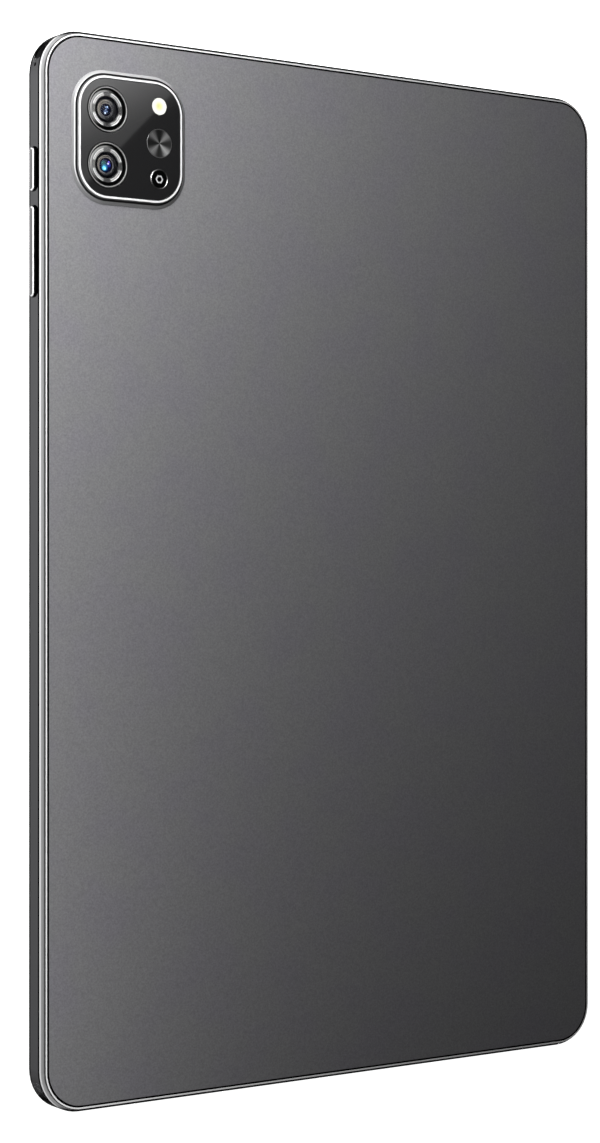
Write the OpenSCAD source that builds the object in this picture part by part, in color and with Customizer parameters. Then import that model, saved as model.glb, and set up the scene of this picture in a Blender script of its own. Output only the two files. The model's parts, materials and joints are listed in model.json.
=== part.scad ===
// Ten-inch tablet computer, lying on its screen with its back up.
// X runs across the short side, Y along the long side towards the camera end,
// Z up out of the back. Z = 0 is the outer face of the screen glass.

/* [Body] */
// Width across the short side
body_w = 160; // [159:0.5:162]
// Length along the long side
body_l = 242; // [241:0.5:244]
// Thickness from the screen glass to the polished rear edge
body_t = 7.5; // [7.5:0.1:7.8]
// Outer corner radius seen from the back
corner_r = 10; // [9.8:0.1:10.2]
// Wall thickness of the side frame
wall_t = 1.3; // [1.2:0.05:1.3]
// Thickness of the rear cover
cover_t = 0.8; // [0.7:0.05:0.9]
// Thickness of the screen glass
glass_t = 0.7; // [0.6:0.05:0.7]

/* [Screen] */
// Width of the display module's outline
panel_w = 141; // [139:0.5:141]
// Length of the display module's outline
panel_l = 222.6; // [220:0.2:222.6]

/* [Cameras] */
// Camera island centre across
island_x = -57.8; // [-58:0.1:-57.6]
// Camera island centre along
island_y = 97.6; // [97.5:0.1:97.7]
// Camera island foot, width across
island_w = 29.8; // [29.6:0.1:30]
// Camera island foot, length along
island_l = 30.2; // [30:0.1:30.4]
// Height of the island's bright rim above the polished rear edge
island_h = 1.1; // [1:0.05:1.3]
// Outer radius of the two lens rings
lens_ring_r = 5.15; // [5.05:0.05:5.2]
// Travel of the focusing lens barrel
focus_travel = 0.3; // [0.2:0.05:0.35]

/* [Keys] */
// Length of the power key
power_len = 9.6; // [9:0.1:9.8]
// Length of the volume key
volume_len = 20.1; // [19:0.1:20.4]
// Height of both keys across the frame
key_h = 1.9; // [1.8:0.05:2]
// How far the keys stand out of the frame
key_proud = 0.5; // [0.4:0.05:0.6]

/* [Ports] */
// Radius of the headphone bore for a 3.5 mm plug
jack_r = 1.8; // [1.78:0.01:1.82]
// Depth of the headphone bore
jack_depth = 13.6; // [13:0.1:13.6]
// Length of the card tray's face
tray_face_l = 16.2; // [16:0.1:16.4]

/* [Hidden] */
$fn = 64;

half_w = body_w / 2;
half_l = body_l / 2;
eps = 0.01;

// Side frame section, measured outwards from the corner centre and up from the screen
wall_low_z = 1.3;
band_z = body_t - 1.53;
band_in = 0.75;
ring_w = 0.43;
cover_gap = 0.27;
cover_r = corner_r - band_in - ring_w - cover_gap - 0.03;
cover_low_z = body_t - 0.05 - cover_t;
tape_t = 0.1;
glass_edge_r = corner_r - 1.1;
mid_z = 2.1;
mid_t = 0.5;
mid_top = mid_z + mid_t;
boss_h = 0.4;
board_z = mid_top + boss_h;
board_t = 0.8;
board_top = board_z + board_t;

// Camera island section
island_r = 8.6;
island_cx = island_w / 2 - island_r;
island_cy = island_l / 2 - island_r;
cover_top = body_t - 0.05;
rim_top = body_t + island_h;
plate_top = rim_top - 0.12;
plate_low = rim_top - 0.75;
lens_x = -63.9;
upper_y = 103.85;
lower_y = 91.35;
trim_x = -50.3;
flash_y = 105.9;
disc_y = 97.45;
badge_y = 89.3;
flash_r = 2;
disc_r = 3.3;
badge_r = 2.3;
barrel_r = 3.1;
lens_gap = 0.15;
lens_bore_r = 3.35;
lens_foot_z = 7.3;
window_z = 7.95;
window_t = 0.2;
mouth_z = window_z - focus_travel - 0.05;

// Keys on the -X side
key_z = 3;
power_y = 89.65;
volume_y = 71.3;
key_gap = 0.18;
dish_z = 3.7;
dish_h = 4.5;
dish_depth = 0.3;
dish_r = (dish_h * dish_h / 4 + dish_depth * dish_depth) / (2 * dish_depth);
dish_end = 0.25;
flange_out = half_w - 1.65;
flange_t = 0.4;
nub_t = 0.2;
dome_x = half_w - 2.6;
dome_t = 0.2;
rock_y = 7;
nub_ys = [power_y, volume_y - rock_y, volume_y + rock_y];
flex_t = 0.12;

// Headphone jack at the upper left corner, and its neighbour the microphone
jack_a = 150;
jack_z = 4.05;
jack_nose = corner_r - 0.4;
mic_a = 169;
mic_z = 3.8;

// USB connector and speaker grilles in the lower short side
usb_w = 8.94;
usb_h = 3.16;
usb_z = 3.9;
usb_depth = 7.3;
grille_n = 6;
grille_pitch = 2.4;
grille_x = 51.5;
grille_r = 0.6;
grille_z = 3.9;

// Card tray in the +X side
tray_y = 86.8;
tray_w = 11.8;
tray_z = 4;
tray_t = 0.8;
tray_end_x = 54.2;
pin_y = 94.7;
tray_face_y = tray_y - tray_w / 2 - 1 + tray_face_l / 2;
tray_face_h = 2.2;
reader_x = 51.5;
pivot = [50.6, 91];
lever_w = 1;
rod_w = 0.8;

// Battery bay
cell_w = 68;
cell_l = 150;
cell_low_y = -96;
cell_z = mid_top + 0.2;
cell_t = 3.4;
cell_gap = 3;

screw_points = [[-68, 64], [-36, 106], [34, 66], [72, 64], [40, 103], [2, 80],
    [-26, -105], [26, -105], [-71.5, 86.5], [-54, 86.5]];
bracket_points = [[-71.5, 86.5], [-54, 86.5]];

// ---------- shared shapes ----------

// Sweeps a section around a rounded rectangle. The section's x runs outwards from
// the corner centres and its y runs up.
module sweep_round(cx, cy) {
    for (i = [0:3]) {
        sx = (i == 0 || i == 3) ? 1 : -1;
        sy = i < 2 ? 1 : -1;
        translate([sx * cx, sy * cy, 0]) rotate([0, 0, 90 * i]) rotate_extrude(angle = 90) children();
    }
    for (i = [0:3]) {
        out = i % 2 == 0 ? cx : cy;
        along = i % 2 == 0 ? cy : cx;
        rotate([0, 0, 90 * i]) translate([out, along, 0]) rotate([90, 0, 0])
            linear_extrude(2 * along) children();
    }
}

// A flat plate with round corners, given its half sizes
module round_plate(hw, hl, r, z0, t) {
    translate([0, 0, z0]) linear_extrude(t) union() {
        square([2 * (hw - r), 2 * hl], center = true);
        square([2 * hw, 2 * (hl - r)], center = true);
        for (sx = [-1, 1], sy = [-1, 1])
            translate([sx * (hw - r), sy * (hl - r)]) circle(r);
    }
}

// A flat ring between two rounded rectangles
module round_ring(hw, hl, r, w, z0, t) {
    difference() {
        round_plate(hw, hl, r, z0, t);
        round_plate(hw - w, hl - w, r - w, z0 - 1, t + 2);
    }
}

// A box between two corners
module block(low, high) {
    translate(low) cube(high - low);
}

// A slot with round ends along Y, running t in the +X direction from x0
module slot_x(x0, t, y, z, len, h) {
    translate([x0, y, z]) rotate([90, 0, 90]) linear_extrude(t) stadium(len, h);
}

// A slot with round ends along X, running t in the +Y direction from y0
module slot_y(y0, t, x, z, len, h) {
    translate([x, y0 + t, z]) rotate([90, 0, 0]) linear_extrude(t) stadium(len, h);
}

module stadium(len, h) {
    square([len - h, h], center = true);
    for (s = [-1, 1]) translate([s * (len - h) / 2, 0]) circle(h / 2);
}

// A thin ribbon whose section follows points in the YZ plane, w wide about x
module ribbon_y(points, x, w, t) {
    n = len(points);
    back = [for (i = [n - 1:-1:0]) points[i] + [0, t]];
    translate([x - w / 2, 0, 0]) rotate([90, 0, 90]) linear_extrude(w) polygon(concat(points, back));
}

// ---------- screen ----------

module front_glass() {
    edge = 0.5;
    color([0.02, 0.02, 0.025]) {
        block([-half_w + corner_r, -half_l + corner_r, 0],
            [half_w - corner_r, half_l - corner_r, glass_t]);
        sweep_round(half_w - corner_r, half_l - corner_r) {
            polygon(concat([[0, glass_t], [0, 0]],
                [for (a = [-90:15:0]) [glass_edge_r - edge + edge * cos(a), edge + edge * sin(a)]],
                [[glass_edge_r, glass_t]]));
        }
    }
}

module screen_adhesive() {
    color([0.1, 0.1, 0.1])
        round_ring(half_w - 1.4, half_l - 1.4, corner_r - 1.4, 1.2, glass_t, tape_t);
}

module display_panel() {
    color([0.05, 0.05, 0.07])
        block([-panel_w / 2, -panel_l / 2, glass_t], [panel_w / 2, panel_l / 2, 1.3]);
}

module backlight_unit() {
    lip = 0.6;
    color([0.8, 0.8, 0.82])
        block([-panel_w / 2 - lip, -panel_l / 2 - lip, 1.3], [panel_w / 2 + lip, panel_l / 2 + lip, 2]);
}

// Ribbon that leaves the screen, turns up past the mid frame and lands on the board
module folded_flex(x, w, start_y, fold_y, end_y) {
    top = board_top + 0.03;
    translate([x - w / 2, 0, 0]) rotate([90, 0, 90]) linear_extrude(w)
        polygon([[start_y, glass_t], [fold_y, glass_t], [fold_y, top + flex_t],
            [end_y, top + flex_t], [end_y, top], [fold_y - flex_t, top],
            [fold_y - flex_t, glass_t + flex_t], [start_y, glass_t + flex_t]]);
}

module display_flex() {
    color([0.75, 0.45, 0.1]) folded_flex(15, 28, panel_l / 2, 114.6, 105);
}

module touch_flex() {
    color([0.7, 0.4, 0.1]) folded_flex(-22, 12, 113.2, 116, 105);
}

// ---------- chassis ----------

module mid_frame() {
    rib_x = 70.6;
    rib_t = 0.5;
    color([0.35, 0.36, 0.38]) difference() {
        union() {
            round_plate(half_w - 2.4, half_l - 2.4, corner_r - 2.4, mid_z, mid_t);
            for (p = screw_points)
                translate([p[0], p[1], mid_top - eps]) cylinder(r = 1.7, h = boss_h + eps);
            for (s = [-1, 1])
                block([s * rib_x - rib_t / 2, cell_low_y, mid_top - eps],
                    [s * rib_x + rib_t / 2, 52, mid_top + 1.5]);
        }
        for (p = screw_points) translate([p[0], p[1], 0]) cylinder(r = 0.75, h = 6);
        jack_frame() block([-6, -3.1, 1], [11, 3.1, 6]);
        block([-1, 113.6, 1], [31, 115.4, 4]);
        block([-29, 115.2, 1], [-15, 116.8, 4]);
        block([-77.4, -3, 1], [-71.9, 3, 4]);
        block([-half_w, 58, 1], [-dome_x + dome_t + flex_t, 97, 4]);
        block([-usb_w / 2 - 0.3, -half_l, 1], [usb_w / 2 + 0.3, -half_l + 8.6, 4]);
        round_well(lens_x, lower_y, 4.6);
        round_well(lens_x, upper_y, 3.1);
    }
}

// A square well with round corners cut through the mid frame
module round_well(x, y, h) {
    translate([x, y, 0]) round_plate(h, h, 0.8, 1, 3);
}

module side_section() {
    ledge_r = corner_r - 2.7;
    band = [for (k = [0:4]) [corner_r - band_in * pow(k / 4, 1.25), band_z + (body_t - band_z) * k / 4]];
    polygon(concat(
        [[ledge_r, glass_t + tape_t], [glass_edge_r + 0.12, glass_t + tape_t],
            [glass_edge_r + 0.12, 0.25], [glass_edge_r + 0.35, 0.25], [corner_r, wall_low_z]],
        [for (k = [0:3]) band[k]],
        [[corner_r - band_in + 0.02, body_t - 0.1], [corner_r - band_in - 0.03, body_t - 0.1],
            [corner_r - band_in - 0.03, body_t], [corner_r - band_in - 0.03 - ring_w, body_t],
            [corner_r - band_in - 0.03 - ring_w, cover_low_z - tape_t],
            [corner_r - 2.1, cover_low_z - tape_t], [corner_r - 2.1, cover_low_z - tape_t - 0.35],
            [corner_r - wall_t, cover_low_z - tape_t - 0.35], [corner_r - wall_t, glass_t + tape_t + 0.4],
            [ledge_r, glass_t + tape_t + 0.4]]));
}

// Shallow dish around a key, with round ends
module key_dish(y, len) {
    intersection() {
        slot_x(-half_w - 1, 1 + dish_depth, y, dish_z, len, dish_h);
        translate([-half_w + dish_depth - dish_r, y + len, dish_z]) rotate([90, 0, 0])
            cylinder(r = dish_r, h = 2 * len, $fn = 128);
    }
}

// Places children with +X pointing out of the headphone jack's mouth
module jack_frame() {
    translate([-half_w + corner_r, half_l - corner_r, 0]) rotate([0, 0, jack_a]) children();
}

module side_frame() {
    color([0.45, 0.45, 0.47]) difference() {
        sweep_round(half_w - corner_r, half_l - corner_r) side_section();
        for (k = [[power_y, power_len], [volume_y, volume_len]]) {
            slot_x(-half_w - 1, 3, k[0], key_z, k[1] + 2 * key_gap, key_h + 2 * key_gap);
            key_dish(k[0], k[1] + 2 * dish_end);
        }
        jack_frame() translate([6, 0, jack_z]) rotate([0, 90, 0]) cylinder(r = jack_r + 0.25, h = 6);
        translate([-half_w + corner_r, half_l - corner_r, mic_z]) rotate([0, 0, mic_a]) rotate([0, 90, 0])
            cylinder(r = 0.45, h = 12);
        translate([18, half_l - 3, mic_z]) rotate([-90, 0, 0]) cylinder(r = 0.45, h = 6);
        slot_y(-half_l - 1, 4, 0, usb_z, usb_w + 0.3, usb_h + 0.3);
        for (s = [-1, 1], i = [0:grille_n - 1])
            translate([s * grille_x + (i - (grille_n - 1) / 2) * grille_pitch, -half_l + 3, grille_z])
                rotate([90, 0, 0]) cylinder(r = grille_r, h = 6);
        slot_x(half_w - 3, 5, tray_face_y, tray_z + tray_t / 2, tray_face_l + 0.24, tray_face_h + 0.24);
    }
}

module rear_cover() {
    bevel = 0.12;
    color([0.5, 0.5, 0.52]) difference() {
        union() {
            block([-half_w + corner_r, -half_l + corner_r, cover_low_z],
                [half_w - corner_r, half_l - corner_r, cover_top]);
            sweep_round(half_w - corner_r, half_l - corner_r)
                polygon([[0, cover_low_z], [cover_r, cover_low_z], [cover_r, cover_top - bevel],
                    [cover_r - bevel, cover_top], [0, cover_top]]);
        }
        translate([island_x, island_y, 0])
            round_plate(island_cx + 7.4, island_cy + 7.4, 7.4, cover_low_z - 1, 3);
    }
}

module cover_adhesive() {
    color([0.12, 0.12, 0.12])
        round_ring(half_w - 1.55, half_l - 1.55, corner_r - 1.55, 0.5, cover_low_z - tape_t, tape_t);
}

module graphite_sheet() {
    color([0.15, 0.15, 0.16])
        block([-58, -90, cover_low_z - 0.06], [58, 76, cover_low_z]);
}

// ---------- camera island ----------

module camera_ring() {
    color([0.75, 0.75, 0.76]) translate([island_x, island_y, 0]) sweep_round(island_cx, island_cy)
        polygon([[5.9, cover_low_z - 0.3], [7.3, cover_low_z - 0.3], [7.3, cover_top],
            [island_r, cover_top], [island_r, cover_top + 0.1],
            [7.85, cover_top + 0.62], [7.5, cover_top + 0.62],
            [7.44, cover_top + 0.72], [7.2, rim_top], [6.8, rim_top], [6.7, rim_top - 0.1],
            [6.7, plate_low], [5.9, plate_low]]);
}

module camera_glass() {
    color([0.03, 0.03, 0.035]) difference() {
        translate([island_x, island_y, 0])
            round_plate(island_cx + 6.62, island_cy + 6.62, 6.62, plate_low, plate_top - plate_low);
        for (y = [upper_y, lower_y]) translate([lens_x, y, 0]) cylinder(r = lens_ring_r + lens_gap, h = 20);
        translate([trim_x, flash_y, 0]) cylinder(r = flash_r + 0.03, h = 20);
        translate([trim_x, disc_y, plate_top - 0.2]) cylinder(r = disc_r + 0.02, h = 1);
        translate([trim_x, badge_y, plate_top - 0.2]) cylinder(r = badge_r + 0.02, h = 1);
    }
}

module lens_ring(y) {
    r = lens_ring_r;
    translate([lens_x, y, 0]) rotate_extrude($fn = 96)
        polygon([[lens_bore_r, lens_foot_z], [r, lens_foot_z], [r, rim_top], [r - 0.35, rim_top],
            [r - 0.4, rim_top - 0.3], [r - 0.65, rim_top - 0.3], [r - 0.7, rim_top - 0.12],
            [lens_bore_r, rim_top - 0.42]]);
}

module upper_lens_ring() {
    color([0.6, 0.6, 0.62]) lens_ring(upper_y);
}

module lower_lens_ring() {
    color([0.6, 0.6, 0.62]) lens_ring(lower_y);
}

module lens_glass(y) {
    translate([lens_x, y, window_z]) cylinder(r = lens_bore_r - 0.02, h = window_t);
}

module upper_lens_glass() {
    color([0.1, 0.1, 0.15]) lens_glass(upper_y);
}

module lower_lens_glass() {
    color([0.1, 0.1, 0.15]) lens_glass(lower_y);
}

module flash_lens() {
    color([0.95, 0.95, 0.8]) translate([trim_x, flash_y, 0]) rotate_extrude()
        polygon([[0, body_t], [flash_r, body_t], [flash_r, plate_top - 0.1],
            [flash_r - 0.25, plate_top], [0, plate_top]]);
}

module spun_disc() {
    color([0.35, 0.35, 0.36]) translate([trim_x, disc_y, plate_top - 0.2])
        cylinder(r = disc_r, h = 0.25, $fn = 96);
}

module badge_ring() {
    color([0.7, 0.7, 0.7]) translate([trim_x, badge_y, plate_top - 0.2]) difference() {
        cylinder(r = badge_r, h = 0.3);
        translate([0, 0, 0.12]) cylinder(r = badge_r - 0.4, h = 1);
    }
}

module flash_board() {
    color([0.1, 0.35, 0.15]) {
        translate([trim_x, flash_y, 6.85]) cylinder(r = 2.6, h = 0.25);
        block([trim_x - 1, flash_y - 1, 7.1], [trim_x + 1, flash_y + 1, 7.4]);
    }
}

// Square camera housing with a round well for its lens
module camera_can(y, half, low, top, well_r, well_low) {
    translate([lens_x, y, 0]) difference() {
        round_plate(half, half, 0.6, low, top - low);
        translate([0, 0, well_low]) cylinder(r = well_r, h = 10);
    }
}

module main_camera_module() {
    color([0.2, 0.2, 0.22]) camera_can(lower_y, 4.3, 2.3, 6.6, barrel_r + 0.1, 3.1);
}

// Moving lens barrel of the main camera, with a stepped mouth
module main_lens_barrel() {
    color([0.06, 0.06, 0.07]) translate([lens_x, lower_y, 0]) rotate_extrude()
        polygon([[0, 3.2], [barrel_r, 3.2], [barrel_r, mouth_z - 0.4], [2.7, mouth_z], [2.3, mouth_z],
            [1.9, mouth_z - 0.25], [1.25, mouth_z - 0.3], [0, mouth_z - 0.25]]);
}

module depth_camera_module() {
    color([0.2, 0.2, 0.22]) {
        camera_can(upper_y, 2.8, 2.4, 6.4, 2.2, 5.9);
        translate([lens_x, upper_y, 0]) rotate_extrude()
            polygon([[0, 5.9], [2.2, 5.9], [2.2, 6.4], [3, 6.4], [3, mouth_z - 0.3], [2.7, mouth_z],
                [2.3, mouth_z], [1.9, mouth_z - 0.25], [0, mouth_z - 0.25]]);
    }
}

// Stamped plate that holds the cameras down, on two screwed feet
module camera_bracket() {
    color([0.65, 0.65, 0.68]) difference() {
        union() {
            block([-73.2, 84.8, 4.6], [-52.2, 100.6, 4.9]);
            for (p = bracket_points) {
                translate([p[0], p[1], board_z]) cylinder(r = 1.6, h = 4.75 - board_z);
            }
        }
        translate([lens_x, lower_y, 0]) round_plate(4.4, 4.4, 0.6, 4, 2);
        for (p = bracket_points) translate([p[0], p[1], 0]) cylinder(r = 0.8, h = 6);
    }
}

// Ribbon from the main camera to the board
module main_camera_flex() {
    low = 2.75;
    top = board_top + 0.03;
    w = 6;
    color([0.7, 0.45, 0.12]) translate([0, lower_y + w / 2, 0]) rotate([90, 0, 0]) linear_extrude(w)
        polygon([[-59.6, low], [-44, low], [-41, top], [-35, top], [-35, top + flex_t],
            [-41, top + flex_t], [-44, low + flex_t], [-59.6, low + flex_t]]);
}

module front_camera() {
    color([0.08, 0.08, 0.09]) {
        block([-76.9, -2.3, 1.3], [-72.3, 2.3, 4.2]);
        translate([-74.6, 0, glass_t]) cylinder(r = 1.6, h = 0.7);
    }
}

module light_sensor() {
    color([0.2, 0.2, 0.2]) block([-75.6, 8, glass_t], [-73.6, 10, 1.3]);
}

// ---------- boards ----------

module main_board() {
    color([0.05, 0.3, 0.15]) difference() {
        translate([0, 0, board_z]) linear_extrude(board_t)
            polygon([[-71.5, 60], [76, 60], [76, 110], [-40, 110], [-40, 80], [-71.5, 80]]);
        for (p = screw_points) translate([p[0], p[1], 0]) cylinder(r = 0.8, h = 6);
    }
}

module processor() {
    color([0.1, 0.1, 0.1]) block([-16, 86, board_top], [-1, 101, board_top + 0.9]);
}

module memory_chip() {
    color([0.1, 0.1, 0.1]) block([-32, 87, board_top], [-20, 100, board_top + 0.9]);
}

// Pressed cover over a group of chips, open underneath
module shield_can(low, high) {
    skin = 0.15;
    difference() {
        block(low, high);
        block(low + [skin, skin, -1], high - [skin, skin, skin]);
    }
}

module cpu_shield() {
    color([0.75, 0.75, 0.77]) shield_can([-34, 84.5, board_top], [0.5, 102.5, board_top + 1.3]);
}

module radio_shield() {
    color([0.75, 0.75, 0.77]) shield_can([8, 70, board_top], [30, 90, board_top + 1.2]);
}

module sub_board() {
    color([0.05, 0.3, 0.15]) difference() {
        block([-30, -half_l + 3, board_z], [30, -101, board_top]);
        block([-usb_w / 2 - 0.2, -half_l, 2], [usb_w / 2 + 0.2, -half_l + usb_depth + 0.6, 5]);
        for (p = screw_points) translate([p[0], p[1], 0]) cylinder(r = 0.8, h = 6);
    }
}

module link_flex() {
    low = board_top + 0.02;
    high = cell_z + cell_t + 0.03;
    color([0.7, 0.45, 0.12])
        ribbon_y([[-107, low], [-101.5, low], [-98, high], [56.5, high], [60, low], [66, low]],
            17, 14, flex_t);
}

// ---------- battery ----------

module cell(x0) {
    soft = 1.2;
    translate([x0 + cell_w / 2, cell_low_y + cell_l / 2, 0])
        round_plate(cell_w / 2, cell_l / 2, soft, cell_z, cell_t);
}

module battery_left() {
    color([0.2, 0.2, 0.22]) cell(-cell_gap / 2 - cell_w);
}

module battery_right() {
    color([0.2, 0.2, 0.22]) cell(cell_gap / 2);
}

module battery_board() {
    color([0.05, 0.25, 0.12]) block([-40, 54.4, cell_z], [6, 58.2, cell_z + 0.8]);
}

module battery_cable() {
    low = cell_z + 0.82;
    top = board_top + 0.03;
    color([0.1, 0.1, 0.1]) ribbon_y([[56, low], [58.5, low], [60.2, top], [66, top]], -20, 9, 0.25);
}

module battery_tape() {
    color([0.85, 0.85, 0.85]) for (x = [-60, -38, -12, 8, 34, 56])
        block([x, cell_low_y + 8, mid_top], [x + 4, cell_low_y + cell_l - 8, cell_z]);
}

// ---------- keys ----------

// A key with a stepped round edge, a flange inside the wall and nubs for its switches
module side_key(y, len, nubs) {
    out_x = -half_w - key_proud;
    slot_x(out_x + 0.3, key_proud + 1.35 + eps, y, key_z, len, key_h);
    slot_x(out_x + 0.12, 0.2, y, key_z, len - 0.16, key_h - 0.16);
    slot_x(out_x, 0.2, y, key_z, len - 0.5, key_h - 0.5);
    slot_x(-flange_out, flange_t, y, key_z, len + 1.2, key_h + 0.9);
    for (ny = nubs) translate([-flange_out + flange_t - eps, ny, key_z]) rotate([0, 90, 0])
        cylinder(r = 0.6, h = nub_t + eps);
}

module power_key() {
    color([0.5, 0.5, 0.52]) side_key(power_y, power_len, [power_y]);
}

module volume_key() {
    color([0.5, 0.5, 0.52]) side_key(volume_y, volume_len, [volume_y - rock_y, volume_y + rock_y]);
}

module key_domes() {
    color([0.8, 0.8, 0.8]) for (y = nub_ys) translate([-dome_x, y, key_z]) rotate([0, 90, 0])
        cylinder(r1 = 0.6, r2 = 0.9, h = dome_t);
}

module key_flex() {
    color([0.7, 0.45, 0.12])
        block([-dome_x + dome_t, 60, key_z - 1.1], [-dome_x + dome_t + flex_t, 95, key_z + 1.4]);
}

module key_bracket() {
    x0 = -dome_x + dome_t + flex_t;
    color([0.65, 0.65, 0.68]) {
        block([x0, 58, mid_top], [x0 + 0.3, 97, key_z + 1.5]);
        for (y = [60, 78, 94]) block([x0 + 0.3, y, mid_top], [x0 + 3, y + 3, mid_top + 0.3]);
    }
}

// ---------- ports ----------

module headphone_jack() {
    body_end = jack_nose - jack_depth - 0.5;
    color([0.06, 0.06, 0.07]) jack_frame() difference() {
        union() {
            block([body_end, -2.1, jack_z - 2], [3, 2.1, jack_z + 2]);
            block([0, -2.7, jack_z - 2], [7.6, 2.3, jack_z + 2]);
            translate([7, 0, jack_z]) rotate([0, 90, 0]) cylinder(r = jack_r + 0.2, h = jack_nose - 7);
        }
        translate([jack_nose - jack_depth, 0, jack_z]) rotate([0, 90, 0]) cylinder(r = jack_r, h = 20);
    }
}

module microphones() {
    color([0.75, 0.7, 0.5]) {
        block([-half_w + 1.6, 108.6, mic_z - 1.1], [-half_w + 2.7, 112.5, mic_z + 1.3]);
        block([16.2, half_l - 2.7, mic_z - 1.1], [19.8, half_l - 1.6, mic_z + 1.3]);
    }
}

module usb_c_shell() {
    skin = 0.28;
    color([0.7, 0.7, 0.72]) difference() {
        slot_y(-half_l + 0.3, usb_depth, 0, usb_z, usb_w, usb_h);
        slot_y(-half_l, usb_depth, 0, usb_z, usb_w - 2 * skin, usb_h - 2 * skin);
    }
}

module usb_c_tongue() {
    color([0.08, 0.08, 0.08])
        block([-3.35, -half_l + 1.1, usb_z - 0.35], [3.35, -half_l + usb_depth, usb_z + 0.35]);
}

module speaker_box(side) {
    x = side * grille_x;
    color([0.08, 0.08, 0.09]) difference() {
        block([x - 14, -half_l + 2.2, mid_top + 0.1], [x + 14, -104, 6.2]);
        block([x - 13, -half_l, grille_z - 0.9], [x + 13, -half_l + 5, grille_z + 0.9]);
    }
}

module left_speaker() {
    speaker_box(-1);
}

module right_speaker() {
    speaker_box(1);
}

module speaker_meshes() {
    color([0.15, 0.15, 0.15]) for (s = [-1, 1])
        block([s * grille_x - 8, -half_l + wall_t + 0.1, grille_z - 1.2],
            [s * grille_x + 8, -half_l + wall_t + 0.3, grille_z + 1.2]);
}

// ---------- card tray ----------

module sim_tray() {
    lip = 0.5;
    mid_y = tray_y;
    color([0.5, 0.5, 0.52]) difference() {
        union() {
            slot_x(half_w - 1, 1, tray_face_y, tray_z + tray_t / 2, tray_face_l, tray_face_h);
            block([tray_end_x, mid_y - tray_w / 2, tray_z],
                [half_w - 0.9, mid_y + tray_w / 2, tray_z + tray_t]);
        }
        block([64.8, mid_y - 4.5, tray_z + 0.2], [77.3, mid_y + 4.5, 6]);
        block([64.8 + lip, mid_y - 4.5 + lip, 3], [77.3 - lip, mid_y + 4.5 - lip, 6]);
        block([55.4, mid_y - 5.3, tray_z + 0.2], [63.8, mid_y + 5.3, 6]);
        block([55.4 + lip, mid_y - 5.3 + lip, 3], [63.8 - lip, mid_y + 5.3 - lip, 6]);
        translate([half_w - 2, pin_y, tray_z + tray_t / 2]) rotate([0, 90, 0]) cylinder(r = 0.5, h = 4);
    }
}

// Metal card reader: a channel round the tray, a base that reaches the ejector's
// pivot pin, and a rail that guides the ejector rod
module sim_reader() {
    skin = 0.2;
    gap = 0.12;
    y0 = tray_y - tray_w / 2 - gap;
    y1 = tray_y + tray_w / 2 + gap;
    base_z = board_top;
    color([0.72, 0.72, 0.74]) {
        difference() {
            block([reader_x, y0 - skin, base_z], [77.2, y1 + skin, tray_z + tray_t + gap + skin]);
            block([reader_x - 1, y0, base_z + 0.1], [78, y1, tray_z + tray_t + gap]);
        }
        block([48.6, 84, base_z], [reader_x, 96, base_z + 0.1]);
        block([reader_x, y1 + skin, base_z], [77.2, 96, base_z + 0.1]);
        block([reader_x + 2, 95.5, base_z], [77.2, 95.8, tray_z + tray_t]);
        translate([pivot[0], pivot[1], base_z]) cylinder(r = 0.5, h = 1.1);
    }
}

module sim_eject_rod() {
    tip_x = pivot[0] + lever_w / 2 + 0.1;
    color([0.6, 0.6, 0.62]) {
        block([tip_x + rod_w / 2, pin_y - rod_w / 2, tray_z + 0.1],
            [78.2, pin_y + rod_w / 2, tray_z + 0.7]);
        translate([tip_x + rod_w / 2, pin_y, tray_z + 0.1]) cylinder(r = rod_w / 2, h = 0.6);
    }
}

module sim_eject_lever() {
    tail_y = 95.3;
    nose_y = 86.8;
    color([0.6, 0.6, 0.62]) translate([0, 0, tray_z + 0.1]) difference() {
        linear_extrude(0.6) union() {
            translate([pivot[0] - lever_w / 2, nose_y]) square([lever_w, tail_y - nose_y]);
            translate([pivot[0] - lever_w / 2, nose_y - 0.4]) square([1.9, 0.9]);
            translate(pivot) circle(1);
        }
        translate([pivot[0], pivot[1], -1]) cylinder(r = 0.55, h = 3);
    }
}

// ---------- radio and fasteners ----------

module wifi_antenna() {
    color([0.75, 0.5, 0.15]) block([26, half_l - 1.7, 2.8], [62, half_l - 1.5, 5.6]);
}

module antenna_cable() {
    z = board_top + 0.45;
    r = 0.4;
    color([0.1, 0.1, 0.1]) {
        translate([60, half_l - 1.75, z]) rotate([90, 0, 0]) cylinder(r = r, h = 12);
        translate([60, half_l - 13.75, z]) sphere(r);
        translate([60, half_l - 13.75, z]) rotate([0, -90, 0]) cylinder(r = r, h = 24);
    }
}

module board_screws() {
    color([0.7, 0.7, 0.72]) for (i = [0:len(screw_points) - 1]) {
        p = screw_points[i];
        on_bracket = i > 7;
        seat = on_bracket ? 4.9 : board_top;
        translate([p[0], p[1], mid_z + 0.05]) cylinder(r = 0.7, h = seat - mid_z);
        translate([p[0], p[1], seat]) difference() {
            cylinder(r = 1.15, h = 0.35);
            translate([0, 0, 0.15]) cylinder(r = 0.45, h = 1);
        }
    }
}

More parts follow.
